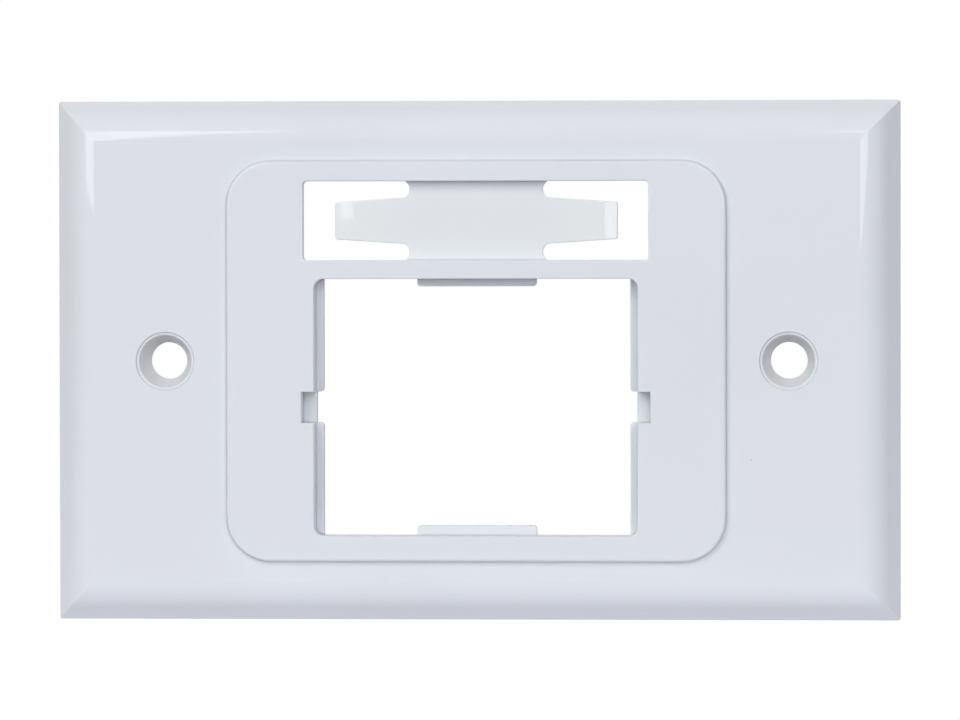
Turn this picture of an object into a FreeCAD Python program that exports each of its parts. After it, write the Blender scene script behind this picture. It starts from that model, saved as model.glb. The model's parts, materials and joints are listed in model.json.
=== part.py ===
import FreeCAD
import Part
import math
import os

# Wall faceplate for a data outlet: one hollow moulding in glossy plastic.
# It is drawn lying on its back, X along its length, Y up its height and Z out of the wall,
# and turned upright at the end, with its front towards -Y and the wall plane at Y = 0.

# Plate
PLATE_WIDTH = 113.7
PLATE_HEIGHT = 70.0
FACE_RISE = 6.4
SIDE_RISE = 1.0
WALL = 2.0
CORNER_RADIUS = 0.4

# Bevel round the front: a steep outer slope that curves over into the flat face
BEVEL_WIDTH = 5.4
BEVEL_ANGLE = 65.0
BEVEL_EDGE_RADIUS = 0.3

# Raised pad, with the margins round its two windows
PAD_WIDTH = 66.8
PAD_STEP = 1.0
PAD_DRAFT = 11.5
PAD_CORNER_RADIUS = 5.8
PAD_EDGE_RADIUS = 0.3
PAD_TOP_MARGIN = 2.58
WINDOW_GAP = 2.52
PAD_BOTTOM_MARGIN = 3.27
WINDOW_EDGE_RADIUS = 0.2

# Screw holes: a conical sink with a shallow lip, and a straight land at the wall
SCREW_SPACING = 83.8
SCREW_HOLE_DIAMETER = 4.95
SCREW_LAND = 1.4
SINK_DIAMETER = 7.0
LIP_WIDTH = 0.36
LIP_DEPTH = 0.28
LIP_BEVEL = 0.12
BOSS_WALL = 1.7

# Module window: the insert's seat is the ledges at the sides and the tabs above and below
MODULE_WIDTH = 43.45
MODULE_HEIGHT = 34.5
MODULE_CORNER_RADIUS = 1.27
SEAT_DEPTH = 3.2
SEAT_THICKNESS = 1.6
FRAME_WALL = 1.5
LEDGE_REACH = 1.08
TAB_WIDTH = 16.05
TOP_TAB_REACH = 1.03
BOTTOM_TAB_REACH = 1.28
SEAT_CORNER_RADIUS = 0.5
SEAT_EDGE_RADIUS = 0.15
NOTCH_HEIGHT = 4.15
NOTCH_REACH = 1.7
NOTCH_FLOOR_REACH = 0.16

# Label window: a sunk bridge with two spring tongues, freed by four slots
LABEL_WIDTH = 46.36
LABEL_HEIGHT = 10.58
LABEL_CORNER_RADIUS = 0.5
BRIDGE_DEPTH = 1.8
BRIDGE_THICKNESS = 1.3
BRIDGE_WIDTH = 17.9
BRIDGE_ROOT = 1.2
SLOT_ROOT_HEIGHT = 2.17
SLOT_TIP_HEIGHT = 2.8
SLOT_END_BULGE = 0.66
SLOT_CORNER_RADIUS = 0.4
TONGUE_GAP = 4.18
TONGUE_CORNER_RADIUS = 0.4
TONGUE_BEND_LENGTH = 2.6
TONGUE_BEND_DROP = 0.2
TONGUE_EDGE_RADIUS = 0.15

# Ribs behind the face, and the round marks that ejector pins leave between them
RIB_THICKNESS = 1.2
RIB_FOOT = 2.2
RIB_OFFSET = 12.0
EJECTOR_DIAMETER = 4.0
EJECTOR_DEPTH = 0.12

# Places that follow from those sizes
BEVEL_TURN = math.radians(BEVEL_ANGLE)
SLOPE = math.tan(BEVEL_TURN)
CURVE_SLOPE = math.tan(BEVEL_TURN / 2)
BEVEL_STRAIGHT = (FACE_RISE - SIDE_RISE - BEVEL_WIDTH * CURVE_SLOPE) / (SLOPE - CURVE_SLOPE)
BEVEL_SHOULDER = SIDE_RISE + BEVEL_STRAIGHT * SLOPE
BEVEL_RADIUS = (BEVEL_WIDTH - BEVEL_STRAIGHT) / math.sin(BEVEL_TURN)
FACE_BACK = FACE_RISE - WALL
PAD_RISE = FACE_RISE + PAD_STEP
PAD_BACK = PAD_RISE - WALL
PAD_ROOT = PAD_RISE - WALL / 2
PAD_HEIGHT = PAD_TOP_MARGIN + LABEL_HEIGHT + WINDOW_GAP + MODULE_HEIGHT + PAD_BOTTOM_MARGIN
LABEL_Y = PAD_HEIGHT / 2 - PAD_TOP_MARGIN - LABEL_HEIGHT / 2
MODULE_Y = PAD_BOTTOM_MARGIN + MODULE_HEIGHT / 2 - PAD_HEIGHT / 2
SCREW_X = SCREW_SPACING / 2
SCREW_RADIUS = SCREW_HOLE_DIAMETER / 2
SINK_RADIUS = SINK_DIAMETER / 2
BOSS_RADIUS = SINK_RADIUS + BOSS_WALL
SEAT_RISE = PAD_RISE - SEAT_DEPTH
FRAME_FOOT = SEAT_RISE - SEAT_THICKNESS
FRAME_SIDE = MODULE_WIDTH / 2 + FRAME_WALL
FRAME_BOTTOM = MODULE_Y - MODULE_HEIGHT / 2 - FRAME_WALL
BRIDGE_RISE = PAD_RISE - BRIDGE_DEPTH
BRIDGE_FOOT = BRIDGE_RISE - BRIDGE_THICKNESS
TONGUE_TIP = LABEL_WIDTH / 2 - TONGUE_GAP
TONGUE_BEND = TONGUE_TIP - TONGUE_BEND_LENGTH

# How far cutters reach past a surface, what a round leaves beside it, and how near counts as touching
CUT_PAST = 2.0
FILLET_ROOM = 0.05
CLOSE = 1e-3

X_AXIS = FreeCAD.Vector(1, 0, 0)
Y_AXIS = FreeCAD.Vector(0, 1, 0)
Z_AXIS = FreeCAD.Vector(0, 0, 1)
ORIGIN = FreeCAD.Vector(0, 0, 0)


def block(x_low, x_high, y_low, y_high, z_low, z_high):
    """A plain block between the given limits."""
    corner = FreeCAD.Vector(x_low, y_low, z_low)
    return Part.makeBox(x_high - x_low, y_high - y_low, z_high - z_low, corner)


def centred_block(width, height, middle_y, z_low, z_high):
    """A block centred on the plate's upright middle line and on middle_y."""
    return block(-width / 2, width / 2, middle_y - height / 2, middle_y + height / 2, z_low, z_high)


def upright_edges(shape):
    """The edges that run along Z."""
    return [edge for edge in shape.Edges if edge.BoundBox.XLength + edge.BoundBox.YLength < CLOSE]


def rounded_block(width, height, radius, middle_y, z_low, z_high):
    """A centred block with its upright edges rounded."""
    plain = centred_block(width, height, middle_y, z_low, z_high)
    return plain.makeFillet(radius, upright_edges(plain))


def along_length(points):
    """A wire of straight runs in the XZ plane, from (x, z) pairs, closed."""
    corners = [FreeCAD.Vector(x, 0, z) for x, z in points]
    return Part.makePolygon(corners + corners[:1])


def crossed(prism_across, width, height):
    """What two prisms, one along each side of the plate, share: its corners come out mitred."""
    along_y = prism_across(width, height)
    along_x = prism_across(height, width).rotate(ORIGIN, Z_AXIS, 90)
    return along_y.common(along_x)


def outer_prism(width, length):
    """The plate's outer section over the given width, drawn out along Y."""
    half = width / 2
    tangent = BEVEL_EDGE_RADIUS * math.tan((math.pi / 2 - BEVEL_TURN) / 2)
    mid_turn = (math.pi / 2 + BEVEL_TURN) / 2
    round_x = half - BEVEL_EDGE_RADIUS
    round_z = SIDE_RISE - tangent
    foot = FreeCAD.Vector(half, 0, 0)
    side_top = FreeCAD.Vector(half, 0, round_z)
    edge_mid = FreeCAD.Vector(
        round_x + BEVEL_EDGE_RADIUS * math.sin(mid_turn),
        0,
        round_z + BEVEL_EDGE_RADIUS * math.cos(mid_turn),
    )
    slope_foot = FreeCAD.Vector(
        half - tangent * math.cos(BEVEL_TURN), 0, SIDE_RISE + tangent * math.sin(BEVEL_TURN)
    )
    slope_top = FreeCAD.Vector(half - BEVEL_STRAIGHT, 0, BEVEL_SHOULDER)
    curve_mid = FreeCAD.Vector(
        half - BEVEL_WIDTH + BEVEL_RADIUS * math.sin(BEVEL_TURN / 2),
        0,
        FACE_RISE - BEVEL_RADIUS * (1 - math.cos(BEVEL_TURN / 2)),
    )
    curve_top = FreeCAD.Vector(half - BEVEL_WIDTH, 0, FACE_RISE)
    right = [
        Part.makeLine(foot, side_top),
        Part.Arc(side_top, edge_mid, slope_foot).toShape(),
        Part.makeLine(slope_foot, slope_top),
        Part.Arc(slope_top, curve_mid, curve_top).toShape(),
    ]
    left = [edge.mirror(ORIGIN, X_AXIS) for edge in right]
    front = Part.makeLine(curve_top, FreeCAD.Vector(-curve_top.x, 0, FACE_RISE))
    back = Part.makeLine(foot, FreeCAD.Vector(-half, 0, 0))
    outline = Part.Wire(Part.__sortEdges__(right + left + [front, back]))
    return drawn_out(outline, length)


def inner_prism(width, length):
    """The hollow's section over the given outer width: the outer chord of the bevel, one wall lower."""
    half = width / 2
    inside = half - WALL
    shoulder = SIDE_RISE - WALL + WALL * (FACE_RISE - SIDE_RISE) / BEVEL_WIDTH
    flat = half - BEVEL_WIDTH
    right = [(inside, 0), (inside, shoulder), (flat, FACE_BACK)]
    left = [(-x, z) for x, z in reversed(right)]
    outline = along_length(right + left)
    return drawn_out(outline, length - 2 * WALL)


def drawn_out(outline, length):
    """A wire in the XZ plane made solid along Y, half its length each way."""
    face = Part.Face(outline)
    return face.extrude(Y_AXIS * length).translate(Y_AXIS * (-length / 2))


def outer_body():
    """The bevelled plate as a full body, its upright corners just rounded."""
    corners = rounded_block(PLATE_WIDTH, PLATE_HEIGHT, CORNER_RADIUS, 0, 0, FACE_RISE)
    return crossed(outer_prism, PLATE_WIDTH, PLATE_HEIGHT).common(corners)


def hollow():
    """The hollow behind the plate's face."""
    return crossed(inner_prism, PLATE_WIDTH, PLATE_HEIGHT)


def module_cutter(z_low, z_high):
    """The module window with its pry notch at each side."""
    window = rounded_block(MODULE_WIDTH, MODULE_HEIGHT, MODULE_CORNER_RADIUS, MODULE_Y, z_low, z_high)
    notches = centred_block(MODULE_WIDTH + 2 * NOTCH_REACH, NOTCH_HEIGHT, MODULE_Y, z_low, z_high)
    return window.fuse(notches).removeSplitter()


def label_cutter(z_low, z_high):
    """The label window."""
    return rounded_block(LABEL_WIDTH, LABEL_HEIGHT, LABEL_CORNER_RADIUS, LABEL_Y, z_low, z_high)


def pad():
    """The raised pad, its sides drafted, with both windows through it and every front edge rounded."""
    spread = PAD_STEP * math.tan(math.radians(PAD_DRAFT))
    root = rounded_block(
        PAD_WIDTH + 2 * spread, PAD_HEIGHT + 2 * spread, PAD_CORNER_RADIUS + spread, 0, FACE_BACK, FACE_RISE
    )
    top = rounded_block(PAD_WIDTH, PAD_HEIGHT, PAD_CORNER_RADIUS, 0, FACE_RISE, PAD_RISE)
    step = Part.makeLoft([front_face(root).OuterWire, front_face(top).OuterWire], True, True)
    slab = root.fuse(step).removeSplitter()
    past = PAD_RISE + CUT_PAST
    slab = slab.cut(module_cutter(FACE_BACK - CUT_PAST, past)).cut(label_cutter(FACE_BACK - CUT_PAST, past))
    slab = slab.makeFillet(PAD_EDGE_RADIUS, front_face(slab).OuterWire.Edges)
    front = front_face(slab)
    rims = [edge for wire in front.Wires if not wire.isSame(front.OuterWire) for edge in wire.Edges]
    return slab.makeFillet(WINDOW_EDGE_RADIUS, rims)


def front_face(shape):
    """The flat face furthest out from the wall."""
    flat = [face for face in shape.Faces if face.BoundBox.ZLength < CLOSE]
    return max(flat, key=lambda face: face.CenterOfMass.z)


def pad_hollow():
    """The hollow behind the pad, which keeps its wall as thick as the plate's."""
    radius = max(PAD_CORNER_RADIUS - WALL, CORNER_RADIUS)
    width = PAD_WIDTH - 2 * WALL
    height = PAD_HEIGHT - 2 * WALL
    return rounded_block(width, height, radius, 0, FACE_BACK - CUT_PAST, PAD_BACK)


def module_frame():
    """The frame behind the module window, wider round the notches, with the seat's edges rounded."""
    frame = centred_block(
        MODULE_WIDTH + 2 * FRAME_WALL, MODULE_HEIGHT + 2 * FRAME_WALL, MODULE_Y, FRAME_FOOT, PAD_ROOT
    )
    notch_boxes = centred_block(
        MODULE_WIDTH + 2 * (NOTCH_REACH + FRAME_WALL),
        NOTCH_HEIGHT + 2 * FRAME_WALL,
        MODULE_Y,
        FRAME_FOOT,
        PAD_ROOT,
    )
    opening = seat_opening()
    frame = frame.fuse(notch_boxes).cut(module_cutter(SEAT_RISE, PAD_RISE + CUT_PAST)).cut(opening)
    frame = frame.removeSplitter()
    return frame.makeFillet(SEAT_EDGE_RADIUS, seat_rims(frame, opening))


def seat_rims(frame, opening):
    """The seat's front edges round the opening, clear of the window's own walls."""
    rims = []
    for edge in frame.Edges:
        middle = edge.valueAt((edge.FirstParameter + edge.LastParameter) / 2)
        level = edge.BoundBox.ZLength < CLOSE and abs(middle.z - SEAT_RISE) < CLOSE
        inside = abs(middle.y - MODULE_Y) < MODULE_HEIGHT / 2 - FILLET_ROOM
        if level and inside and opening.distToShape(Part.Vertex(middle))[0] < CLOSE:
            rims.append(edge)
    return rims


def seat_opening():
    """The opening that the ledges, the notch floors and the tabs leave behind the module window."""
    low = -CUT_PAST
    high = SEAT_RISE + CUT_PAST
    top = MODULE_Y + MODULE_HEIGHT / 2
    bottom = MODULE_Y - MODULE_HEIGHT / 2
    between_ledges = centred_block(MODULE_WIDTH - 2 * LEDGE_REACH, MODULE_HEIGHT, MODULE_Y, low, high)
    opening = module_cutter(low, high).common(between_ledges)
    passage = centred_block(MODULE_WIDTH - 2 * NOTCH_FLOOR_REACH, NOTCH_HEIGHT, MODULE_Y, low, high)
    top_tab = block(-TAB_WIDTH / 2, TAB_WIDTH / 2, top - TOP_TAB_REACH, top, low, high)
    bottom_tab = block(-TAB_WIDTH / 2, TAB_WIDTH / 2, bottom, bottom + BOTTOM_TAB_REACH, low, high)
    opening = opening.fuse(passage).cut(top_tab).cut(bottom_tab).removeSplitter()
    ledge_x = MODULE_WIDTH / 2 - LEDGE_REACH
    corners = [(side * ledge_x, MODULE_Y + end * NOTCH_HEIGHT / 2) for side in (-1, 1) for end in (-1, 1)]
    for side in (-1, 1):
        corners.append((side * TAB_WIDTH / 2, top - TOP_TAB_REACH))
        corners.append((side * TAB_WIDTH / 2, bottom + BOTTOM_TAB_REACH))
    radius = min(SEAT_CORNER_RADIUS, LEDGE_REACH - NOTCH_FLOOR_REACH - FILLET_ROOM)
    return opening.makeFillet(radius, edges_at(opening, corners))


def edges_at(shape, places):
    """The upright edges that stand at the given (x, y) places."""
    found = []
    for edge in upright_edges(shape):
        middle = edge.CenterOfMass
        if any(math.hypot(middle.x - x, middle.y - y) < CLOSE for x, y in places):
            found.append(edge)
    return found


def bridge_surface(rise):
    """The bridge's section line at the given rise: level in the middle, its tongues curving back."""
    bend_radius = (TONGUE_BEND_LENGTH**2 + TONGUE_BEND_DROP**2) / (2 * TONGUE_BEND_DROP)
    half_bend = TONGUE_BEND_LENGTH / 2
    mid_drop = bend_radius - math.sqrt(bend_radius**2 - half_bend**2)
    bend = FreeCAD.Vector(TONGUE_BEND, 0, rise)
    middle = FreeCAD.Vector(TONGUE_BEND + half_bend, 0, rise - mid_drop)
    tip = FreeCAD.Vector(TONGUE_TIP, 0, rise - TONGUE_BEND_DROP)
    curve = Part.Arc(bend, middle, tip).toShape()
    level = Part.makeLine(bend, FreeCAD.Vector(-TONGUE_BEND, 0, rise))
    return [curve, curve.mirror(ORIGIN, X_AXIS), level]


def label_bridge():
    """The sunk bridge across the label window, its two tongues tapering, with rounded front edges."""
    tip_foot = FreeCAD.Vector(TONGUE_TIP, 0, BRIDGE_FOOT - TONGUE_BEND_DROP)
    tip_front = FreeCAD.Vector(TONGUE_TIP, 0, BRIDGE_RISE - TONGUE_BEND_DROP)
    tip = Part.makeLine(tip_foot, tip_front)
    sides = bridge_surface(BRIDGE_RISE) + bridge_surface(BRIDGE_FOOT) + [tip, tip.mirror(ORIGIN, X_AXIS)]
    outline = Part.Wire(Part.__sortEdges__(sides))
    bridge = drawn_out(outline, LABEL_HEIGHT).translate(Y_AXIS * LABEL_Y)
    slot = label_slot()
    for turned in (slot, slot.mirror(ORIGIN, X_AXIS)):
        bridge = bridge.cut(turned)
        bridge = bridge.cut(turned.mirror(Y_AXIS * LABEL_Y, Y_AXIS))
    tips = [edge for edge in upright_edges(bridge) if abs(abs(edge.CenterOfMass.x) - TONGUE_TIP) < CLOSE]
    bridge = bridge.makeFillet(TONGUE_CORNER_RADIUS, tips)
    bridge = bridge.makeFillet(TONGUE_EDGE_RADIUS, tongue_rims(bridge))
    for side in (-1, 1):
        edge_y = LABEL_Y + side * LABEL_HEIGHT / 2
        root = sorted((edge_y, edge_y + side * BRIDGE_ROOT))
        bridge = bridge.fuse(block(-TONGUE_TIP, TONGUE_TIP, root[0], root[1], BRIDGE_FOOT, PAD_ROOT))
    return bridge


def tongue_rims(bridge):
    """The front edges along the tongues and the slots, without the bridge's long sides and bend lines."""
    rims = []
    for edge in bridge.Edges:
        front = edge.CenterOfMass.z > BRIDGE_RISE - TONGUE_BEND_DROP - CLOSE
        long_side = abs(edge.CenterOfMass.y - LABEL_Y) > LABEL_HEIGHT / 2 - CLOSE
        bend_line = abs(abs(edge.CenterOfMass.x) - TONGUE_BEND) < CLOSE
        if front and not long_side and not bend_line:
            rims.append(edge)
    return rims


def label_slot():
    """The upper right slot beside a tongue, its closed end bulging and its height growing to the tip."""
    crown = BRIDGE_WIDTH / 2
    closed = crown + SLOT_END_BULGE
    edge_y = LABEL_Y + LABEL_HEIGHT / 2
    taper = (SLOT_TIP_HEIGHT - SLOT_ROOT_HEIGHT) / (TONGUE_TIP - closed)
    past = TONGUE_TIP + CUT_PAST
    upper = FreeCAD.Vector(closed, edge_y)
    upper_far = FreeCAD.Vector(past, edge_y)
    lower_far = FreeCAD.Vector(past, edge_y - SLOT_ROOT_HEIGHT - taper * (past - closed))
    lower = FreeCAD.Vector(closed, edge_y - SLOT_ROOT_HEIGHT)
    end_mid = FreeCAD.Vector(crown, edge_y - SLOT_ROOT_HEIGHT / 2)
    sides = Part.makePolygon([upper, upper_far, lower_far, lower]).Edges
    outline = Part.Wire(sides + [Part.Arc(lower, end_mid, upper).toShape()])
    slot = Part.Face(outline).extrude(Z_AXIS * (PAD_RISE + CUT_PAST))
    return slot.makeFillet(SLOT_CORNER_RADIUS, edges_at(slot, [(lower.x, lower.y)]))


def bosses():
    """A boss behind each screw hole, down to the wall."""
    boss = Part.makeCylinder(BOSS_RADIUS, FACE_BACK + WALL / 2)
    return [boss.translated(X_AXIS * (side * SCREW_X)) for side in (-1, 1)]


def ribs():
    """Stiffening ribs: through each boss both ways, and above and below the pad's windows."""
    half_width = PLATE_WIDTH / 2 - WALL / 2
    half_height = PLATE_HEIGHT / 2 - WALL / 2
    half_rib = RIB_THICKNESS / 2
    high = FACE_BACK + WALL / 2
    made = []
    for side in (-1, 1):
        reach = sorted((side * FRAME_SIDE, side * half_width))
        made.append(block(reach[0], reach[1], -half_rib, half_rib, RIB_FOOT, high))
        boss_x = side * SCREW_X
        made.append(block(boss_x - half_rib, boss_x + half_rib, -half_height, half_height, RIB_FOOT, high))
        rib_x = side * RIB_OFFSET
        made.append(block(rib_x - half_rib, rib_x + half_rib, -half_height, FRAME_BOTTOM, RIB_FOOT, high))
        label_top = LABEL_Y + LABEL_HEIGHT / 2 + BRIDGE_ROOT / 2
        made.append(block(rib_x - half_rib, rib_x + half_rib, label_top, half_height, RIB_FOOT, high))
    return made


def ejector_marks():
    """The shallow round marks in the hollow's floor, beside the bosses and behind the pad's sides."""
    beside_boss = (SCREW_X + PLATE_WIDTH / 2 - BEVEL_WIDTH) / 2
    behind_pad = (FRAME_SIDE + PAD_WIDTH / 2 - WALL) / 2
    mark = Part.makeCylinder(EJECTOR_DIAMETER / 2, WALL / 2 + EJECTOR_DEPTH)
    made = []
    for x, floor in ((beside_boss, FACE_BACK), (behind_pad, PAD_BACK)):
        for side in (-1, 1):
            for end in (-1, 1):
                place = FreeCAD.Vector(side * x, end * PLATE_HEIGHT / 4, floor - WALL / 2)
                made.append(mark.translated(place))
    return made


def screw_cutter():
    """One screw hole about the Z axis, from past the wall plane to past the face."""
    lip_foot = FACE_RISE - LIP_DEPTH
    lip_radius = SINK_RADIUS + LIP_WIDTH
    outline = along_length(
        [
            (0, -CUT_PAST),
            (SCREW_RADIUS, -CUT_PAST),
            (SCREW_RADIUS, SCREW_LAND),
            (SINK_RADIUS, lip_foot - LIP_BEVEL),
            (SINK_RADIUS + LIP_BEVEL, lip_foot),
            (lip_radius, lip_foot),
            (lip_radius + LIP_BEVEL, FACE_RISE),
            (lip_radius + LIP_BEVEL, FACE_RISE + CUT_PAST),
            (0, FACE_RISE + CUT_PAST),
        ]
    )
    return Part.Face(outline).revolve(ORIGIN, Z_AXIS, 360)


def faceplate():
    """The whole moulding, drawn on its back."""
    body = outer_body()
    plate = body.cut(hollow()).fuse(pad()).cut(pad_hollow())
    plate = plate.cut(ejector_marks()).fuse([rib.common(body) for rib in ribs()] + bosses())
    plate = plate.cut(module_cutter(-CUT_PAST, PAD_RISE + CUT_PAST)).fuse(module_frame())
    plate = plate.cut(label_cutter(-CUT_PAST, PAD_RISE + CUT_PAST)).fuse(label_bridge())
    for side in (-1, 1):
        plate = plate.cut(screw_cutter().translated(X_AXIS * (side * SCREW_X)))
    return plate.removeSplitter()


def main():
    os.makedirs("parts", exist_ok=True)
    plate = faceplate().rotate(ORIGIN, X_AXIS, 90)
    print("faceplate", plate.isValid(), len(plate.Solids), round(plate.Volume), plate.BoundBox)
    plate.exportStep("parts/faceplate.step")


main()
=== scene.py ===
import json
import math

import bpy
from mathutils import Matrix, Vector


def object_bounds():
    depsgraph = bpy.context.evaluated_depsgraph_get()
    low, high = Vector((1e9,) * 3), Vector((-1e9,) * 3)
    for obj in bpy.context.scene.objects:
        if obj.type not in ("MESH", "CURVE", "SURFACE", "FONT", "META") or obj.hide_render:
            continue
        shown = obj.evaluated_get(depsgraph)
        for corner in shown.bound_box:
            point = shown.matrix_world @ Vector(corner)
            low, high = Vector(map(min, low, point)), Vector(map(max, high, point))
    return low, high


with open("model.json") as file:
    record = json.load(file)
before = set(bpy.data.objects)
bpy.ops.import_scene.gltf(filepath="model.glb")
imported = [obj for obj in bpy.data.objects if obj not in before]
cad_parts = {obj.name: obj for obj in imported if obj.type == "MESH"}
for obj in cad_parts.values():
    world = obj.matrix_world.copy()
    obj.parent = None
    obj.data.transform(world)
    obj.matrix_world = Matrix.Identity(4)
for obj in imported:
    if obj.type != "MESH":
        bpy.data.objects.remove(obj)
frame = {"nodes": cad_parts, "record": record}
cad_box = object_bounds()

# Lengths are in metres, while the record gives the screw spacing in millimetres
MM_PER_M = 1000
WHITE = (1.0, 1.0, 1.0, 1.0)

# Camera: a long lens a little to the right of the plate and above its middle
CAMERA_PLACE = Vector((0.0562, -0.8750, 0.0186))
CAMERA_AIM = Vector((0.00056, -0.0064, 0.00016))
CAMERA_ROLL = math.radians(-0.091)
CAMERA_LENS = 243.5
CAMERA_NEAR = 0.01
CAMERA_FAR = 10.0
SENSOR_WIDTH = 36.0

# Floor, well below the plate and out of the camera's view, with a glow that lifts it to white
FLOOR_DROP = 0.065
FLOOR_HALF_WIDTH = 1.5
FLOOR_FRONT = -1.6
FLOOR_BACK = 0.45
FLOOR_TONE = (0.30, 0.30, 0.33, 1.0)
FLOOR_ROUGHNESS = 0.9
FLOOR_GLOW = (1.0, 1.0, 0.98, 1.0)
FLOOR_LIFT = 0.84

# Surroundings: the direction, strength and tint of the light from each side
WORLD_LOBES = (
    ((0.0, 0.0, 1.0), 0.12, (1.0, 0.99, 1.02)),
    ((-1.0, 0.0, 0.0), 0.32, (1.0, 0.98, 1.04)),
    ((1.0, 0.0, 0.0), 0.31, (1.0, 0.97, 1.25)),
    ((0.0, 1.0, 0.0), 1.05, (1.0, 0.99, 1.02)),
)

# Point in the middle of the plate's wall side, which the panels and lamps face
PLATE_MIDDLE = Vector((0.0, 0.0, 0.0))

# Panels that show in the gloss: name, azimuth and elevation in degrees, distance, the light
# they give, how bright they look in the gloss, and the corners across and up from the middle
PANELS = (
    (
        "panel_left", -25.0, 19.0, 1.22, 2.72, 3.4,
        ((-0.390, -0.387), (0.350, -0.400), (0.306, 0.490), (-0.390, 0.520)),
    ),
    (
        "panel_right", 19.0, 20.0, 1.26, 3.68, 3.25,
        ((-0.336, -0.456), (0.340, -0.414), (0.340, 0.400), (-0.336, 0.390)),
    ),
)

# Lamps for plain light: name, azimuth and elevation in degrees, distance, width, height,
# radiance and tint
LAMPS = (
    ("lamp_high", -34.0, 39.0, 1.0, 0.42, 0.34, 2.7, (1.0, 1.0, 1.0)),
    ("lamp_low", 0.0, -78.0, 0.078, 0.30, 0.028, 1.02, (1.0, 0.98, 1.10)),
)

# Plastic: a cool white, faintly uneven in broad clouds
PLASTIC_TONE = (0.758, 0.793, 0.822, 1.0)
PLASTIC_SHADE = (0.746, 0.780, 0.808, 1.0)
PLASTIC_IOR = 1.54
CLOUD_RANGE = (0.35, 0.7)

# Screw sinks: painted shade, a darker and more neutral grey inside their radius and in front of the
# land at the wall
SINK_PAINTED_SHADE_TONE = (0.76, 0.765, 0.772, 1.0)
SINK_RADIUS = 0.00352
SINK_FOOT = -0.0006

# Label bridge: painted light, a lighter tone for the light that comes through its thin wall, most
# of all in its tongues
BRIDGE_PAINTED_LIGHT_TONE = (0.80, 0.832, 0.835, 1.0)
BRIDGE_FRONT = -0.0057
BRIDGE_HALF_HEIGHT = 0.0052
BRIDGE_HALF_LENGTH = 0.0195
BRIDGE_STRENGTH = 0.6
TONGUE_STRENGTH = 1.0
TONGUE_ROOT = 0.006
TONGUE_TIP = 0.016

# Tight inside corners: painted shade, a darker grey by how open the surface is within a short reach
CORNER_PAINTED_SHADE_TONE = (0.40, 0.405, 0.42, 1.0)
CORNER_REACH = 0.00025
CORNER_STRENGTH = 0.75
CORNER_SAMPLES = 16
CORNER_TIGHT = 0.4
CORNER_OPEN = 1.0

# Specks: their core and rim as parts of a cell, and the share of the cells that have none
SPECK_TONE = (0.60, 0.61, 0.63, 1.0)
SPECK_CORE = 0.012
SPECK_RIM = 0.022
SPECK_FREE_SHARE = 0.86

# Gloss of the front with its wipe marks, of the satin back and of the matt steep walls, with
# the range of each finish by how far the surface faces forwards or back
FRONT_ROUGHNESS = 0.012
WIPE_ROUGHNESS = 0.015
WIPE_RANGE = (0.4, 0.75)
BACK_ROUGHNESS = 0.38
BACK_RANGE = (0.1, 0.4)
WALL_ROUGHNESS = 0.95
WALL_RANGE = (0.24, 0.36)

# Fine patterns: how many to the metre, how finely broken, and the depth of those in relief
CLOUD_SCALE = 45.0
WIPE_SCALE = 110.0
SPECK_SCALE = 160.0
RIPPLE_SCALE = 260.0
GRAIN_SCALE = 3200.0
PATTERN_DETAIL = 2.0
WIPE_DETAIL = 4.0
RIPPLE_DEPTH = 0.0000015
GRAIN_DEPTH = 0.000012
RELIEF_UNIT = 1.0

# Places of the colour sockets on a mix node, whose names the other kinds of socket share
COLOUR_UNDER = 6
COLOUR_OVER = 7
COLOUR_OUT = 2


def add_object(name, data):
    """A new object in the scene."""
    obj = bpy.data.objects.new(name, data)
    bpy.context.scene.collection.objects.link(obj)
    return obj


def add_sheet(name, corners, material):
    """A new flat sheet with four corners."""
    mesh = bpy.data.meshes.new(name)
    mesh.from_pydata(corners, [], [(0, 1, 2, 3)])
    mesh.materials.append(material)
    return add_object(name, mesh)


def aimed(obj, place, aim, roll=0.0):
    """Puts a camera, panel or lamp at a place, looking at a point."""
    turn = (aim - place).to_track_quat("-Z", "Y").to_matrix().to_4x4()
    obj.matrix_world = Matrix.Translation(place) @ turn @ Matrix.Rotation(roll, 4, "Z")


def towards(azimuth, elevation):
    """The direction of a panel or lamp as seen from the plate."""
    side = math.radians(azimuth)
    rise = math.radians(elevation)
    level = math.cos(rise)
    return Vector((math.sin(side) * level, -math.cos(side) * level, math.sin(rise)))


def mount_named(name):
    """The record's entry for one of the plate's mounts."""
    return next(mount for mount in frame["record"]["mounts"] if mount["name"] == name)


def new_material(name):
    """A new material and its node tree."""
    material = bpy.data.materials.new(name)
    material.use_nodes = True
    return material, material.node_tree


def new_node(tree, kind, **settings):
    """A new node with the given settings."""
    node = tree.nodes.new(kind)
    for name, value in settings.items():
        setattr(node, name, value)
    return node


def feed(tree, socket, value):
    """Links an input to a node's output, or puts a plain value on it."""
    if isinstance(value, bpy.types.NodeSocket):
        tree.links.new(value, socket)
    else:
        socket.default_value = value


def number(tree, operation, *values):
    """A number worked out from others."""
    node = new_node(tree, "ShaderNodeMath", operation=operation)
    for socket, value in zip(node.inputs, values):
        feed(tree, socket, value)
    return node.outputs["Value"]


def overlap(tree, mask, *others):
    """Masks multiplied together, so that it is one only where they all are."""
    for other in others:
        mask = number(tree, "MULTIPLY", mask, other)
    return mask


def axes(tree, vector):
    """The parts of a vector across, along the depth and up."""
    node = new_node(tree, "ShaderNodeSeparateXYZ")
    feed(tree, node.inputs["Vector"], vector)
    return node.outputs["X"], node.outputs["Y"], node.outputs["Z"]


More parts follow.
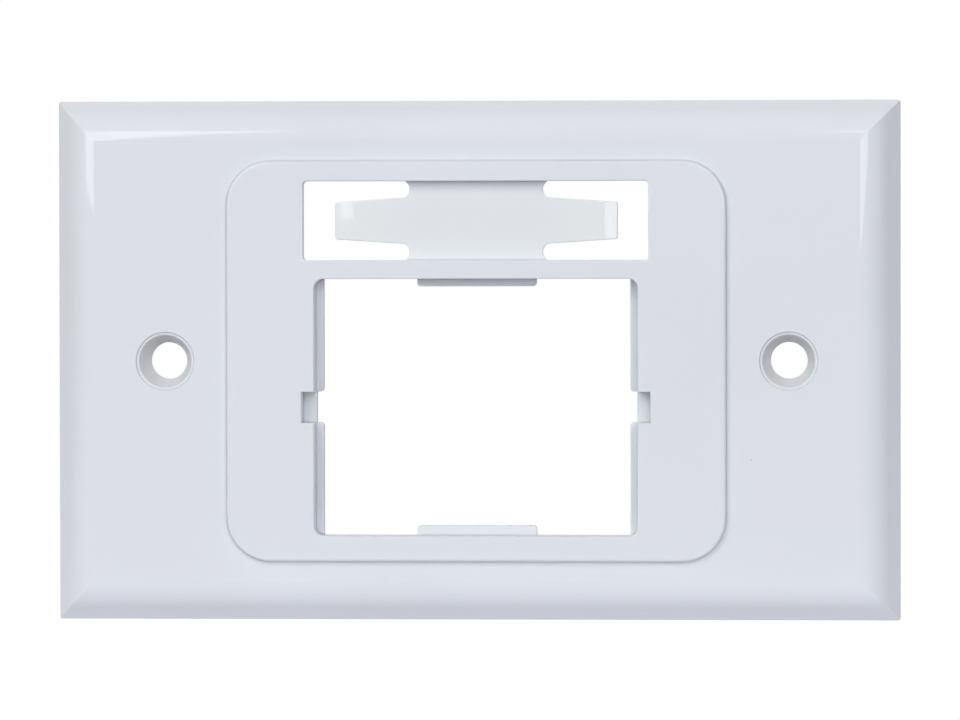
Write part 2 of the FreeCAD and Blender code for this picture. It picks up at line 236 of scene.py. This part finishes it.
def ramp(tree, value, start, end, low=0.0, high=1.0):
    """A smooth change from low to high as a value goes from start to end."""
    node = new_node(tree, "ShaderNodeMapRange", interpolation_type="SMOOTHSTEP")
    feed(tree, node.inputs["Value"], value)
    feed(tree, node.inputs["From Min"], start)
    feed(tree, node.inputs["From Max"], end)
    feed(tree, node.inputs["To Min"], low)
    feed(tree, node.inputs["To Max"], high)
    return node.outputs["Result"]


def noise(tree, place, scale, detail=PATTERN_DETAIL):
    """A soft random value that changes over the surface."""
    node = new_node(tree, "ShaderNodeTexNoise")
    feed(tree, node.inputs["Vector"], place)
    feed(tree, node.inputs["Scale"], scale)
    feed(tree, node.inputs["Detail"], detail)
    return node.outputs["Fac"]


def blend_tone(tree, mask, under, over):
    """One colour over another, where the mask says."""
    node = new_node(tree, "ShaderNodeMix", data_type="RGBA")
    feed(tree, node.inputs["Factor"], mask)
    feed(tree, node.inputs[COLOUR_UNDER], under)
    feed(tree, node.inputs[COLOUR_OVER], over)
    return node.outputs[COLOUR_OUT]


def blend_number(tree, mask, under, over):
    """One number over another, where the mask says."""
    node = new_node(tree, "ShaderNodeMix", data_type="FLOAT")
    feed(tree, node.inputs["Factor"], mask)
    feed(tree, node.inputs["A"], under)
    feed(tree, node.inputs["B"], over)
    return node.outputs["Result"]


def seen_rays(tree):
    """One for the rays that show the surroundings to the camera, straight or in gloss or glass."""
    path = new_node(tree, "ShaderNodeLightPath")
    straight = number(tree, "MAXIMUM", path.outputs["Is Camera Ray"], path.outputs["Is Glossy Ray"])
    return number(tree, "MAXIMUM", straight, path.outputs["Is Transmission Ray"])


def make_camera():
    """The camera at the photograph's viewing angle."""
    data = bpy.data.cameras.new("camera")
    data.sensor_width = SENSOR_WIDTH
    data.lens = CAMERA_LENS
    data.clip_start = CAMERA_NEAR
    data.clip_end = CAMERA_FAR
    camera = add_object("camera", data)
    aimed(camera, CAMERA_PLACE, CAMERA_AIM, CAMERA_ROLL)
    bpy.context.scene.camera = camera


def side_light(tree, direction, axis, strength, tint):
    """Light that comes from one side of the surroundings, strongest along the axis."""
    along = new_node(tree, "ShaderNodeVectorMath", operation="DOT_PRODUCT")
    feed(tree, along.inputs[0], direction)
    feed(tree, along.inputs[1], axis)
    bright = number(tree, "MAXIMUM", along.outputs["Value"], 0.0)
    colour = new_node(tree, "ShaderNodeVectorMath", operation="SCALE")
    feed(tree, colour.inputs[0], [strength * part for part in tint])
    feed(tree, colour.inputs["Scale"], bright)
    return colour.outputs["Vector"]


def make_world():
    """Soft surroundings that the camera and the gloss see as plain white."""
    world = bpy.data.worlds.new("surroundings")
    world.use_nodes = True
    bpy.context.scene.world = world
    tree = world.node_tree
    direction = new_node(tree, "ShaderNodeTexCoord").outputs["Generated"]
    total = (0.0, 0.0, 0.0)
    for axis, strength, tint in WORLD_LOBES:
        both = new_node(tree, "ShaderNodeVectorMath", operation="ADD")
        feed(tree, both.inputs[0], total)
        feed(tree, both.inputs[1], side_light(tree, direction, axis, strength, tint))
        total = both.outputs["Vector"]
    shown = blend_tone(tree, seen_rays(tree), total, WHITE)
    feed(tree, tree.nodes["Background"].inputs["Color"], shown)


def make_panel(name, azimuth, elevation, distance, light, shown, corners):
    """An evenly bright panel with four free corners, facing the plate."""
    material, tree = new_material(name)
    glow = new_node(tree, "ShaderNodeEmission")
    feed(tree, glow.inputs["Strength"], blend_number(tree, seen_rays(tree), light, shown))
    feed(tree, tree.nodes["Material Output"].inputs["Surface"], glow.outputs["Emission"])
    panel = add_sheet(name, [(across, up, 0.0) for across, up in corners], material)
    aimed(panel, towards(azimuth, elevation) * distance, PLATE_MIDDLE)


def make_lamp(name, azimuth, elevation, distance, width, height, radiance, tint):
    """A soft lamp for plain light, which doesn't show in the gloss."""
    data = bpy.data.lights.new(name, "AREA")
    data.shape = "RECTANGLE"
    data.size = width
    data.size_y = height
    data.energy = radiance * math.pi * width * height
    data.color = tint
    lamp = add_object(name, data)
    aimed(lamp, towards(azimuth, elevation) * distance, PLATE_MIDDLE)
    lamp.visible_glossy = False
    lamp.visible_camera = False


def make_floor():
    """A plain floor, lifted to white for the camera, that keeps the plate's shadow."""
    material, tree = new_material("floor_white")
    shader = tree.nodes["Principled BSDF"]
    shader.inputs["Base Color"].default_value = FLOOR_TONE
    shader.inputs["Roughness"].default_value = FLOOR_ROUGHNESS
    shader.inputs["Emission Color"].default_value = FLOOR_GLOW
    lift = number(tree, "MULTIPLY", seen_rays(tree), FLOOR_LIFT)
    feed(tree, shader.inputs["Emission Strength"], lift)
    corners = [
        (-FLOOR_HALF_WIDTH, FLOOR_FRONT, 0.0),
        (FLOOR_HALF_WIDTH, FLOOR_FRONT, 0.0),
        (FLOOR_HALF_WIDTH, FLOOR_BACK, 0.0),
        (-FLOOR_HALF_WIDTH, FLOOR_BACK, 0.0),
    ]
    floor = add_sheet("floor", corners, material)
    low, _ = cad_box
    floor.location.z = low.z - FLOOR_DROP


def painted_sink_shade_mask(tree, place):
    """One inside the two screw sinks, from the wall land outwards, where shade is painted."""
    across, depth, up = axes(tree, place)
    half_spacing = mount_named("screw_holes")["dims"]["spacing_x_mm"] / (2 * MM_PER_M)
    beside = number(tree, "SUBTRACT", number(tree, "ABSOLUTE", across), half_spacing)
    beside_squared = number(tree, "MULTIPLY", beside, beside)
    up_squared = number(tree, "MULTIPLY", up, up)
    radius = number(tree, "SQRT", number(tree, "ADD", beside_squared, up_squared))
    inside = number(tree, "LESS_THAN", radius, SINK_RADIUS)
    return overlap(tree, inside, number(tree, "LESS_THAN", depth, SINK_FOOT))


def painted_bridge_light_mask(tree, place):
    """Covers the thin label bridge where light is painted, fully at the tips of its tongues and
    less in its middle.
    """
    across, depth, up = axes(tree, place)
    bridge_level = mount_named("label_window")["pos_m"][2]
    off_level = number(tree, "ABSOLUTE", number(tree, "SUBTRACT", up, bridge_level))
    side = number(tree, "ABSOLUTE", across)
    return overlap(
        tree,
        number(tree, "LESS_THAN", off_level, BRIDGE_HALF_HEIGHT),
        number(tree, "GREATER_THAN", depth, BRIDGE_FRONT),
        number(tree, "LESS_THAN", side, BRIDGE_HALF_LENGTH),
        ramp(tree, side, TONGUE_ROOT, TONGUE_TIP, BRIDGE_STRENGTH, TONGUE_STRENGTH),
    )


def painted_corner_shade_mask(tree):
    """Painted shade: grows from nothing on open surfaces to its full strength in tight inside
    corners.
    """
    corner = new_node(
        tree, "ShaderNodeAmbientOcclusion", samples=CORNER_SAMPLES, only_local=True
    )
    feed(tree, corner.inputs["Distance"], CORNER_REACH)
    return ramp(tree, corner.outputs["AO"], CORNER_TIGHT, CORNER_OPEN, CORNER_STRENGTH, 0.0)


def speck_mask(tree, place):
    """A few tiny specks, each well under half a millimetre."""
    cells = new_node(tree, "ShaderNodeTexVoronoi")
    feed(tree, cells.inputs["Vector"], place)
    feed(tree, cells.inputs["Scale"], SPECK_SCALE)
    dot = ramp(tree, cells.outputs["Distance"], SPECK_CORE, SPECK_RIM, 1.0, 0.0)
    draw = new_node(tree, "ShaderNodeSeparateColor")
    feed(tree, draw.inputs["Color"], cells.outputs["Color"])
    return overlap(tree, dot, number(tree, "GREATER_THAN", draw.outputs["Red"], SPECK_FREE_SHARE))


def plastic_tone(tree, place):
    """Clouded white, with painted shade in the sinks and corners, painted light on the bridge, and
    specks.
    """
    clouds = ramp(tree, noise(tree, place, CLOUD_SCALE), *CLOUD_RANGE)
    tone = blend_tone(tree, clouds, PLASTIC_TONE, PLASTIC_SHADE)
    # painted shade: the screw sinks in a darker, more neutral grey
    tone = blend_tone(tree, painted_sink_shade_mask(tree, place), tone, SINK_PAINTED_SHADE_TONE)
    # painted light: the thin label bridge and its tongues made lighter
    tone = blend_tone(tree, painted_bridge_light_mask(tree, place), tone, BRIDGE_PAINTED_LIGHT_TONE)
    # painted shade: tight inside corners darkened by how enclosed they are
    tone = blend_tone(tree, painted_corner_shade_mask(tree), tone, CORNER_PAINTED_SHADE_TONE)
    return blend_tone(tree, speck_mask(tree, place), tone, SPECK_TONE)


def plastic_roughness(tree, place, facing, behind):
    """Glossy in front with faint wipe marks, satin behind and matt on the steep walls."""
    marks = noise(tree, place, WIPE_SCALE, WIPE_DETAIL)
    wipe = ramp(tree, marks, *WIPE_RANGE, 0.0, WIPE_ROUGHNESS)
    front = number(tree, "ADD", wipe, FRONT_ROUGHNESS)
    flats = blend_number(tree, behind, front, BACK_ROUGHNESS)
    steep = ramp(tree, number(tree, "ABSOLUTE", facing), *WALL_RANGE, 1.0, 0.0)
    return blend_number(tree, steep, flats, WALL_ROUGHNESS)


def plastic_relief(tree, place, behind):
    """A faint ripple all over, and a fine grain on the back alone."""
    ripple = number(tree, "MULTIPLY", noise(tree, place, RIPPLE_SCALE), RIPPLE_DEPTH)
    grain = number(tree, "MULTIPLY", noise(tree, place, GRAIN_SCALE), GRAIN_DEPTH)
    grain = number(tree, "MULTIPLY", grain, behind)
    bump = new_node(tree, "ShaderNodeBump")
    feed(tree, bump.inputs["Distance"], RELIEF_UNIT)
    feed(tree, bump.inputs["Height"], number(tree, "ADD", ripple, grain))
    return bump.outputs["Normal"]


def plastic():
    """Glossy white moulded plastic, satin behind, faintly uneven in tone, gloss and flatness, with
    painted shade and painted light in its tone.
    """
    material, tree = new_material("white_plastic_gloss")
    shader = tree.nodes["Principled BSDF"]
    coord = new_node(tree, "ShaderNodeTexCoord")
    place = coord.outputs["Object"]
    _, facing, _ = axes(tree, coord.outputs["Normal"])
    behind = ramp(tree, facing, *BACK_RANGE)
    feed(tree, shader.inputs["Base Color"], plastic_tone(tree, place))
    feed(tree, shader.inputs["Roughness"], plastic_roughness(tree, place, facing, behind))
    feed(tree, shader.inputs["Normal"], plastic_relief(tree, place, behind))
    shader.inputs["IOR"].default_value = PLASTIC_IOR
    return material


make_camera()
make_world()
for panel in PANELS:
    make_panel(*panel)
for lamp in LAMPS:
    make_lamp(*lamp)
make_floor()
frame["nodes"]["faceplate"].material_slots[0].material = plastic()

scene = bpy.context.scene
scene.view_settings.view_transform = "Standard"
